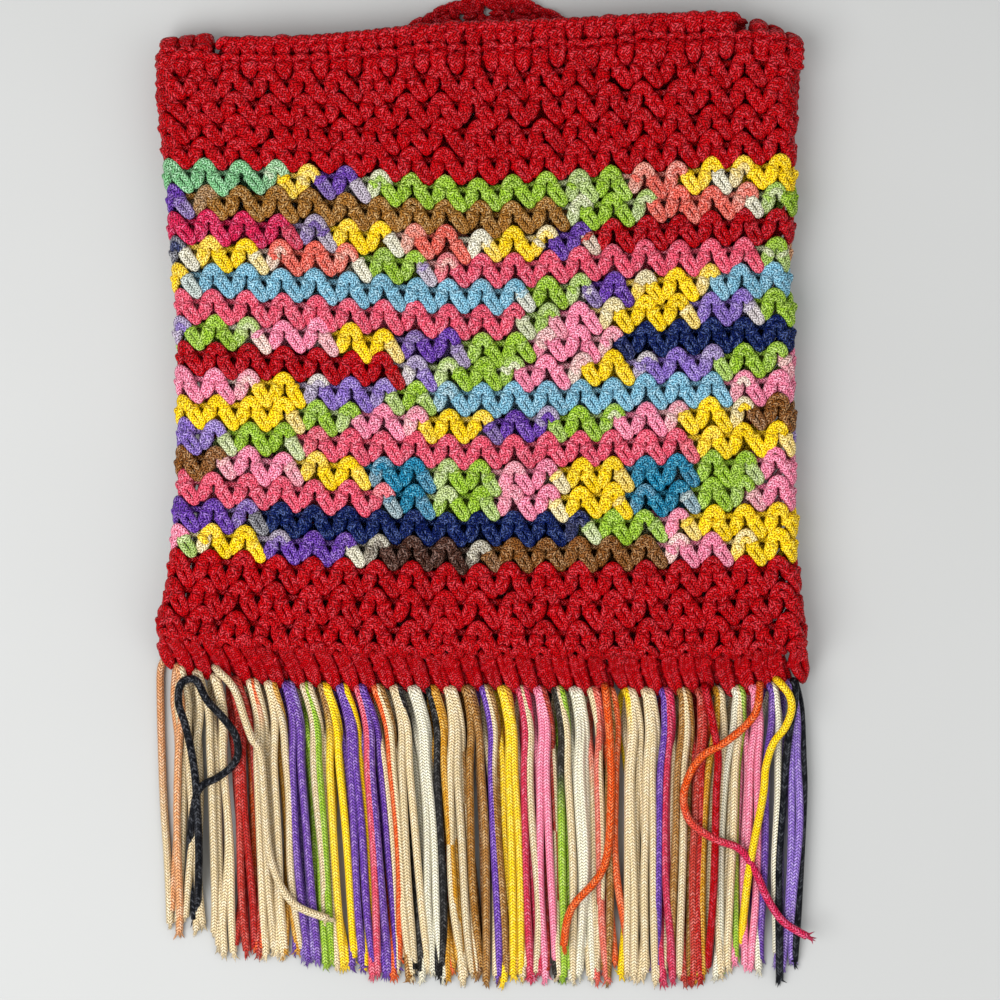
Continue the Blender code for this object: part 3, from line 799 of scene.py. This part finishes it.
@dataclass
class ShoulderStrap:
    """The crocheted strap: it folds over the rim and lies in loops under the back."""

    shape: BagShape
    sweep: CordSweep
    width: float = 0.0190
    thickness: float = 0.0042
    corner_drop: float = 0.0100
    lead: float = 0.0010
    run_inset: float = 0.0160
    turn_radius: float = 0.0280
    turn_depth: float = 0.1570
    loop_radius: float = 0.0510
    loop_rise: float = 0.0118
    seat_gap: float = 0.0003
    round_height: float = 0.0092
    cord_radius: float = 0.00132
    corner_x: float = 0.0900
    left_sag: float = 0.0046
    right_rise: float = 0.0008
    left_slump: float = 0.19
    right_slump: float = 0.07
    left_bulge: float = 0.0034
    loop_lean: float = 0.0020
    droop_x: float = 0.1045
    left_droop: float = 0.12
    right_droop: float = 0.45
    curl: float = 0.55
    relief: float = 0.5
    sink: float = 0.0002
    edge_inset: float = 0.0012
    edge_ply: float = 0.0007
    edge_step: float = 0.0022
    edge_lay: float = 0.0088
    shown_ends: float = 0.05
    shown_loop: float = 0.08

    def route(self) -> tuple[Array, Array]:
        """Middle line and outward normals of the left half, from the bag to the loop's top."""
        lying = self.thickness / 2
        centre = self.width / 2 - self.shape.width / 2
        wall_middle = self.shape.top_z - self.shape.wall / 2
        fold = (wall_middle - lying) / 2
        start = self.shape.rim_y - self.corner_drop + self.seat_gap + self.lead
        angles = np.radians(np.linspace(90, -90, 9))
        out = np.stack([np.zeros(9), np.cos(angles), np.sin(angles)], 1)
        lobe = fold * out + (centre, start, lying + fold)
        line = [np.array([[centre, start - 0.006, wall_middle]]), lobe]
        normals = [np.array([[0, 0, 1.0]]), out]
        run_x = -centre - self.run_inset
        turn_middle = np.array([self.turn_radius - run_x, self.shape.rim_y - self.turn_depth, lying])
        run_end = turn_middle - (self.turn_radius, 0, 0)
        line.append(self.ease(lobe[-1], run_end, 26))
        line.append(self.bend(turn_middle, self.turn_radius, 180, 360, 9))
        loop = np.array([0, self.shape.rim_y + self.loop_rise - self.loop_radius - self.width / 2, lying])
        line.append(self.ease(line[-1][-1], loop - (self.loop_radius, 0, 0), 6))
        line.append(self.bend(loop, self.loop_radius, 180, 90, 7))
        flat = sum(len(part) for part in line[2:])
        normals.append(np.tile((0, 0, -1.0), (flat, 1)))
        return np.concatenate(line), np.concatenate(normals)

    @staticmethod
    def ease(start: Array, end: Array, count: int) -> Array:
        """Points of a run that leaves and arrives along Y, without its first point."""
        t = np.linspace(0, 1, count)[1:, None]
        pull = np.array([0, (end[1] - start[1]) / 3, 0])
        return (
            (1 - t) ** 3 * start + 3 * (1 - t) ** 2 * t * (start + pull)
            + 3 * (1 - t) * t ** 2 * (end - pull) + t ** 3 * end
        )

    @staticmethod
    def bend(middle: Array, radius: float, start: float, end: float, count: int) -> Array:
        """Points of a flat arc, without its first point, angles in degrees."""
        angles = np.radians(np.linspace(start, end, count + 1)[1:])
        return middle + radius * np.stack([np.cos(angles), np.sin(angles), np.zeros(count)], 1)

    def rest(self, line: Array) -> Array:
        """Let the even route settle: slack at the corners, a bulge at the left, the loop's lean."""
        x, y, z = line.T
        near_fold = smoothstep(y, self.shape.rim_y - 0.05, self.shape.rim_y - 0.02)
        outer = np.abs(x) > self.corner_x
        sag = np.where(x < 0, -self.left_sag, self.right_rise) * near_fold * outer
        slump = np.where(x < 0, self.left_slump, self.right_slump) * np.maximum(np.abs(x) - 0.005, 0.0)
        sag = sag - slump * smoothstep(y, 0.12, 0.16) * ~outer
        lower_left = (x < -self.corner_x) * (z < 0.01)
        bulge = -self.left_bulge * np.exp(-(((y - 0.155) / 0.011) ** 2)) * lower_left
        lean = self.loop_lean * smoothstep(y, 0.06, 0.14) * ~outer
        return line + np.stack([bulge + lean, sag, np.zeros(len(line))], axis=1)

    def build(self) -> Object:
        """Crochet the strap along its route."""
        line, normals = self.route()
        flip = np.array([-1, 1, 1])
        line = self.rest(np.concatenate([line, (line * flip)[-2::-1]]))
        normals = np.concatenate([normals, (normals * flip)[-2::-1]])
        gaps = np.linalg.norm(np.diff(line, axis=0), axis=1)
        reach = np.concatenate([[0], np.cumsum(gaps)])
        rows = int(round(reach[-1] / self.round_height))
        height = reach[-1] / rows
        strands = Strands(3)
        posts = np.array((-1.0, 0.0, 1.0)) * self.width / 3
        post_width = self.width / 3.3
        half_stitch = GRID_ACROSS / 2 * GRID_STEP
        for row in range(rows):
            middle = (row + 0.5) * height
            at_end = min(middle, reach[-1] - middle) < self.shown_ends
            shown = at_end or abs(middle - reach[-1] / 2) < self.shown_loop
            for path in POST:
                grid = smooth_path(path.points, 2 if shown else 1)[None] * GRID_STEP
                grid = grid + strands.dice.normal(0, 0.0002, (3, 1, 3))
                across = posts[:, None] + grid[..., 0] * post_width / half_stitch
                along = row * height + grid[..., 1] * height / (GRID_UP * GRID_STEP)
                out = grid[..., 2] * self.relief - self.sink
                points = self.carry(line, normals, reach, along, across, out)
                strands.add(points, PLAIN_RED.at(np.zeros(3), strands.dice))
        for edge in (-1, 1):
            for ply in (0.0, np.pi):
                along = np.arange(0.002, reach[-1] - 0.002, self.edge_step)[None]
                twist = ply + along * 2 * np.pi / self.edge_lay
                across = edge * (self.width / 2 - self.edge_inset) + self.edge_ply * np.cos(twist)
                out = self.edge_ply * np.sin(twist) - 0.0001
                points = self.carry(line, normals, reach, along, across, out)
                strands.add(points, PLAIN_RED.at(np.zeros(1), strands.dice))
        finish = CordFinish("red strap cord", **RED_LOOKS).material()
        piece = self.sweep.piece("shoulder_strap_crochet", strands, self.cord_radius, 6, finish)
        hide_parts("shoulder_strap")
        return piece

    def carry(
        self, line: Array, normals: Array, reach: Array,
        along: Array, across: Array, out: Array,
    ) -> Array:
        """World places of points given along, across and out of the strap."""
        def read(values: Array, where: Array) -> Array:
            return np.stack([np.interp(where, reach, values[:, axis]) for axis in range(3)], axis=-1)

        along = np.clip(along, 0, reach[-1])
        place, normal = read(line, along), unit(read(normals, along))
        ahead = unit(read(line, along + 0.001) - read(line, along - 0.001))
        side = unit(np.cross(ahead, normal))
        past_top = along - reach[-1] / 2
        curl = smoothstep(past_top, -0.004, 0.014) * smoothstep(past_top, 0.075, 0.05)
        edge = self.width / 2
        across = edge - (edge - across) * (1 - self.curl * curl)
        points = place + side * across[..., None] + normal * out[..., None]
        corner = np.maximum(np.abs(points[..., 0]) - self.droop_x, 0.0)
        droop = np.where(points[..., 0] < 0, self.left_droop, self.right_droop) * corner
        points[..., 1] -= droop * smoothstep(points[..., 1], self.shape.rim_y - 0.03, self.shape.rim_y)
        return points


@dataclass(frozen=True)
class Tassel:
    """One knot of the fringe.

    Args:
        slot: The record's material slot; not used.
        cords: Colours of the cords folded through the hole.
    """

    slot: str
    cords: tuple

    @classmethod
    def read(cls, entry: str) -> "Tassel":
        """A tassel from its slot's last word and its cords, such as "peach: peach cream"."""
        slot, cords = entry.split(": ")
        return cls(f"fringe_{slot}", tuple(cords.split()))


FRINGE = tuple(Tassel.read(entry) for entry in (
    "peach: peach cream", "black: cream cream", "cream: cream cream", "red: red red",
    "orange: orange cream", "cream: cream gold", "violet: violet lavender", "lime: lime cream",
    "brown: tan yellow", "violet: violet yellow", "rose: rose violet", "orange: orange tan",
    "cream: cream black", "white: white white", "black: black gold", "orange: orange cream",
    "brown: tan brown", "violet: violet tan", "yellow: yellow gold", "cream: cream crimson",
    "rose: pink red", "black: black lime", "white: white white", "cream: cream coral",
    "brown: tan orange", "yellow: yellow cream", "cream: cream cream", "violet: violet crimson",
    "cream: cream tan", "red: red orange", "gold: gold cream", "white: white lime",
    "orange: pink orange", "yellow: violet white", "black: lavender crimson",
))


@dataclass(frozen=True)
class StrayEnd:
    """A fringe end that lies its own way.

    Args:
        tassel: Number of its tassel.
        colours: Its dye at the top and at the tip.
        floor_gap: Height of its middle stretch above the floor, in millimetres.
        path: Places in millimetres, across and up.
        both_free: True where the path shows both ends of one folded cord.
        lands: True where the tip comes down to the floor.
    """

    tassel: int
    colours: tuple
    floor_gap: float
    path: Array
    both_free: bool = False
    lands: bool = True


STRAY_ENDS = (
    StrayEnd(1, ("peach", "cream"), 0.0, trace(
        "-117.4 -62, -121.8 -66, -122.4 -78.4, -121.3 -115.9, -119.6 -142, -118.7 -164.6"
    )),
    StrayEnd(2, ("black", "black"), 8.4, trace(
        "-108.4 -160, -107 -140, -107.8 -115.9, -109.3 -100.9, -111.9 -87.8, -114.2 -80.3, -113.8 -73.6, "
        "-111.4 -71.2, -108.4 -71, -106.4 -73.2, -103.4 -79, -98.1 -84.8, -93.2 -91.5, -92.1 -99, "
        "-94.3 -103.9, -99.9 -108.4, -105.6 -111.4, -108.6 -117.9, -110.8 -138.4, -109.3 -163"
    ), both_free=True),
    StrayEnd(3, ("cream", "cream"), 8.2, trace(
        "-101 -66.5, -95.1 -72, -92.1 -77.3, -89.4 -85.9, -86.8 -93.4, -83.8 -99, -82.3 -115.9, "
        "-80.1 -138.4, -72 -155.3, -58 -161.8"
    ), lands=False),
    StrayEnd(25, ("orange", "orange"), 8.2, trace(
        "46.5 -73.5, 47.6 -84, 48.6 -98, 48.9 -115.9, 46.3 -142, 33.9 -157.9, 31 -172"
    ), lands=False),
    StrayEnd(31, ("red", "red"), 8.0, trace(
        "84.2 -73.5, 85.6 -80, 87.6 -89.6, 89.4 -100.9, 88.7 -115.9, 88 -145, 86 -181"
    )),
    StrayEnd(33, ("orange", "crimson"), 8.6, trace(
        "105.2 -72.6, 103.8 -82, 101 -86.8, 96.2 -91.5, 90.2 -96, 83.8 -99.8, 78.9 -106.5, 76.3 -115.9, "
        "78.9 -125, 88 -131.6, 97.5 -135.4, 103.5 -144, 108 -154, 114 -162.8, 123 -168.4"
    ), lands=False),
    StrayEnd(34, ("yellow", "yellow"), 8.4, trace(
        "111.2 -71, 115.7 -76.5, 116.8 -82.1, 114.6 -88.9, 110.1 -95.3, 107.4 -104.6, 106.3 -115.9, "
        "100.7 -145.9, 98.8 -172"
    )),
    StrayEnd(35, ("black", "black"), 5.6, trace(
        "117.8 -71.6, 118.3 -78.4, 116 -93.4, 114.4 -115.9, 112.5 -145.9, 113.4 -186"
    )),
    StrayEnd(35, ("black", "black"), 3.4, trace(
        "118.6 -71.6, 121 -82, 121.9 -100.9, 122.2 -115.9, 120.8 -145.9, 119 -179"
    )),
)


@dataclass
class Fringe:
    """Cords folded through the holes of the hem, with their ends lying on the floor."""

    shape: BagShape
    sweep: CordSweep
    strand: float = 0.0030
    knot_shift: float = 0.0012
    drop: float = 0.1126
    fold_gap: float = 0.0011
    leg_gap: float = 0.0009
    belly: float = 0.0012
    sway: float = 0.0011
    ripple: float = 0.0008
    uneven: float = 0.0045
    knot_depth: float = 0.0042
    over_knots: float = 5.0
    filaments: int = 6
    third_cord_odds: tuple = (0.4, 0.35, 0.25)
    pitch: float = field(init=False)

    def __post_init__(self) -> None:
        """Space the tassels like the holes between the hem's posts."""
        self.pitch = 2 * self.shape.hem_reach / (self.shape.hem_posts - 1)

    def build(self) -> list[Object]:
        """Tie every tassel."""
        finish = CordFinish("fringe cord", glint_paleness=0.55).material()
        places = (np.arange(len(FRINGE)) - (len(FRINGE) - 1) / 2) * self.pitch + self.knot_shift
        made = []
        for index, (tassel, x) in enumerate(zip(FRINGE, places)):
            strands = Strands(500 + index)
            strays = [stray for stray in STRAY_ENDS if stray.tassel == index + 1]
            for stray in strays:
                self.stray(strands, stray)
            third = strands.dice.choice((*tassel.cords, "cream"), p=self.third_cord_odds)
            colours = (tassel.cords[0], third, tassel.cords[1])
            for turn, colour in enumerate(colours[:2] if strays else colours):
                far = tassel.cords[1] if strands.dice.random() < 0.3 else colour
                dyes = (Yarn[colour.upper()], Yarn[far.upper()])
                self.cord(strands, x, turn, dyes)
            name = f"fringe_tassel_{index + 1:02d}_cords"
            piece = self.sweep.piece(name, strands, self.strand / 2, 8, finish)
            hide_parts(f"fringe_tassel_{index + 1:02d}")
            made.append(piece)
        return made

    def end_height(self, x: float) -> float:
        """Where the cut ends lie: shorter at the left, longest in the middle."""
        places = MM * np.array([-121.0, -104.0, -100.0, -60.0, -38.0, 0.0, 82.0, 104.0, 120.0])
        lifts = MM * np.array([19.0, 19.0, 11.0, 7.0, 2.0, 0.0, 0.0, 4.0, 5.0])
        return self.shape.hem_y - self.drop + float(np.interp(x, places, lifts))

    def end_drift(self, x: float) -> float:
        """How far the ends lie to the right of their knots."""
        places = MM * np.array([-121.0, -100.0, -51.0, -12.0, 22.0, 63.0, 97.0, 120.0])
        drifts = MM * np.array([-1.0, 4.0, 9.0, 6.0, 3.5, 0.0, -4.0, -1.0])
        return float(np.interp(x, places, drifts))

    def hem_edge(self, x: float) -> float:
        """Where the hem's lower edge lies."""
        shape = self.shape
        across = np.array(x / (shape.width / 2))
        lift = shape.hem_lift_left if x < 0 else shape.hem_lift_right
        edge = shape.hem_y + float(shape.hang(across, np.array(shape.hem_y)))
        return edge + lift * abs(float(across)) ** shape.hem_lift_power

    def cord(self, strands: Strands, x: float, turn: int, dyes: tuple) -> None:
        """One cord folded over the hem's bar, with both its ends hanging."""
        dice = strands.dice
        hem, drift, knot_z = self.hem_edge(x), self.end_drift(x), self.shape.knot_reach
        cream = np.array(Yarn.CREAM.value)
        bleach = dice.uniform(0.0, 0.08)
        near, far = (
            np.array(dye.value) * dice.uniform(0.95, 1.15) * (1 - bleach) + cream * bleach for dye in dyes
        )
        legs = []
        middle = x
        x = x + (turn - 1) * self.fold_gap
        lean = dice.normal(0, 0.0005)
        for side, rank in zip((-1, 1), ((0, 1), (2, 4), (3, 5))[turn]):
            end_x = middle + (rank - 2.5) * self.pitch / 6 + drift + lean + dice.normal(0, 0.0006)
            end_y = self.end_height(end_x) + abs(dice.normal(0, self.uneven))
            low = self.strand * (0.5 + 0.8 * (0, 2, 1)[rank % 3])
            t = np.linspace(0, 1, 20) ** 1.15
            px = x + side * self.leg_gap + (end_x - x) * t ** 0.7
            px = px + side * self.belly * np.exp(-(((t - 0.12) / 0.1) ** 2))
            px = px + dice.normal(0, self.sway) * np.sin(np.pi * t)
            px = px + dice.normal(0, self.ripple) * np.sin(dice.uniform(0, 6.28) + 8 * t) * t
            y = hem + 0.0005 + (end_y - hem) * t
            start_z = knot_z + side * self.knot_depth
            z = start_z + (low - start_z) * smoothstep(t, 0.0, 0.2)
            z = np.maximum(z, self.strand / 2) - (low - self.strand / 2) * smoothstep(t, 0.75, 1.0)
            legs.append(np.stack([px, y, z], 1))
            self.fray(strands, legs[-1], near if side < 0 else far)
        bight = np.array([
            [x - 0.0006, hem + 0.0022, knot_z - 0.0030],
            [x, hem + 0.0034, knot_z + 0.0012],
            [x + 0.0006, hem + 0.0022, knot_z + self.knot_depth],
        ])
        points = smooth_path(np.concatenate([legs[0][::-1], bight, legs[1]]), 2)
        change = smoothstep(np.linspace(0, 1, len(points)) + dice.normal(0, 0.12), 0.45, 0.55)[:, None]
        self.lay_down(strands, points, near + (far - near) * change)

    def stray(self, strands: Strands, stray: StrayEnd) -> None:
        """One end laid along its own path."""
        path = smooth_path(stray.path * MM, 5)
        t = np.linspace(0, 1, len(path))
        bottom = self.strand / 2
        rise = smoothstep(t, 0.0, 0.05) * (1 - smoothstep(t, 0.88, 1.0) * stray.lands)
        above = stray.floor_gap > self.over_knots
        hump = 0.0042 * smoothstep(path[:, 1], -0.108, -0.082) * above
        high = bottom + stray.floor_gap * MM + hump
        start = self.shape.knot_reach + (0.0030 if above else -0.0010)
        z = np.where((t < 0.5) & (not stray.both_free), start, bottom)
        z = z + (high - z) * rise
        points = np.column_stack([path, z])
        top, tip = (np.array(Yarn[name.upper()].value) for name in stray.colours)
        tint = top + (tip - top) * smoothstep(t, 0.45, 0.75)[:, None]
        self.lay_down(strands, points, tint)
        self.fray(strands, points, tip)
        if stray.both_free:
            self.fray(strands, points[::-1], top)

    @staticmethod
    def lay_down(strands: Strands, points: Array, tint: Array) -> None:
        """Add one strand with blunt ends."""
        first = points[:1] + (points[:1] - points[1:2]) * 0.05
        last = points[-1:] + (points[-1:] - points[-2:-1]) * 0.05
        points = np.concatenate([first, points, last])
        swell = np.ones(len(points))
        swell[[0, -1]] = 0.0
        tint = np.concatenate([tint[:1], tint, tint[-1:]])
        strands.add(points[None], tint[None], swell)

    def fray(self, strands: Strands, path: Array, tint: Array) -> None:
        """Loose filaments at a cut end."""
        ahead = unit(path[-1] - path[-2])
        count = self.filaments
        splay = strands.dice.normal(0, 0.45, (count, 3)) * (1, 1, 0.2)
        reach = strands.dice.uniform(0.0018, 0.0042, (count, 1))
        tips = path[-1] + unit(ahead + splay) * reach
        tips[:, 2] = np.clip(tips[:, 2], 0.0004, None)
        middles = (path[-1] + tips) / 2 + strands.dice.normal(0, 0.0003, (count, 3)) * (1, 1, 0)
        roots = np.repeat(path[-2:-1] * 0.15 + path[-1:] * 0.85, count, axis=0)
        points = np.stack([roots, middles, tips], axis=1)
        shades = tint * strands.dice.uniform(0.8, 1.25, (count, 1))
        strands.add(points, shades, np.array([0.5, 0.24, 0.0]))


@dataclass
class Studio:
    """Pale floor, soft light and the camera straight above."""

    frame_width: float = 0.375
    centre: tuple = (0.0069, -0.0034)
    height: float = 1.2
    bag_top: float = 0.02
    sensor: float = 36.0
    floor_z: float = -0.0004
    daylight: float = 0.70

    def build(self) -> None:
        """Make the floor, the lamps, the world and the camera."""
        scene = bpy.context.scene
        scene.view_settings.view_transform = "Standard"
        bpy.ops.mesh.primitive_plane_add(size=6.0, location=(0, 0, self.floor_z))
        floor = bpy.context.object
        floor.name = "floor"
        floor.data.materials.append(self.floor_material())
        self.lamp("soft key", (-0.62, -0.36, 1.10), 0.95, 18.5)
        self.lamp("soft fill", (0.8, -0.3, 1.3), 1.2, 6.0)
        world = bpy.data.worlds.new("studio world")
        world.use_nodes = True
        sky = world.node_tree.nodes["Background"]
        sky.inputs["Color"].default_value = (1.0, 1.0, 1.0, 1.0)
        sky.inputs["Strength"].default_value = self.daylight
        scene.world = world
        camera = bpy.data.objects.new("camera", bpy.data.cameras.new("camera"))
        camera.data.sensor_width = self.sensor
        camera.data.lens = self.sensor * (self.height - self.bag_top) / self.frame_width
        camera.location = (*self.centre, self.height)
        scene.collection.objects.link(camera)
        scene.camera = camera

    @staticmethod
    def lamp(name: str, place: tuple, size: float, power: float) -> None:
        """One soft square lamp aimed at the bag."""
        light = bpy.data.lights.new(name, "AREA")
        light.size = size
        light.energy = power
        made = bpy.data.objects.new(name, light)
        made.location = place
        made.rotation_euler = (-Vector(place)).to_track_quat("-Z", "Y").to_euler()
        bpy.context.scene.collection.objects.link(made)

    @staticmethod
    def floor_material() -> Material:
        """Pale painted floor with the faintest mottle."""
        made, wires, shader = start_material("pale floor")
        where = wires.node("ShaderNodeTexCoord").outputs["Object"]
        mottle = wires.node("ShaderNodeTexNoise", {"Scale": 6.0, "Vector": where}).outputs["Fac"]
        colour = wires.mix("MIX", mottle, (0.40, 0.405, 0.40, 1), (0.44, 0.445, 0.44, 1))
        wires.link(colour, shader.inputs["Base Color"])
        shader.inputs["Roughness"].default_value = 0.7
        return made


def main() -> None:
    """Build the bag's looks in order."""
    logging.basicConfig(level=logging.INFO, format="%(message)s")
    shape = BagShape()
    sweep = CordSweep()
    Studio().build()
    pieces = BagBody(shape, sweep).build()
    pieces.append(ShoulderStrap(shape, sweep).build())
    pieces += Fringe(shape, sweep).build()
    total = 0
    for piece in pieces:
        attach(piece, "root")
        count = sum(len(face.vertices) - 2 for face in piece.data.polygons)
        total += count
        LOG.info("%s: %d triangles", piece.name, count)
    LOG.info("all pieces: %d triangles", total)


if __name__ == "__main__":
    main()
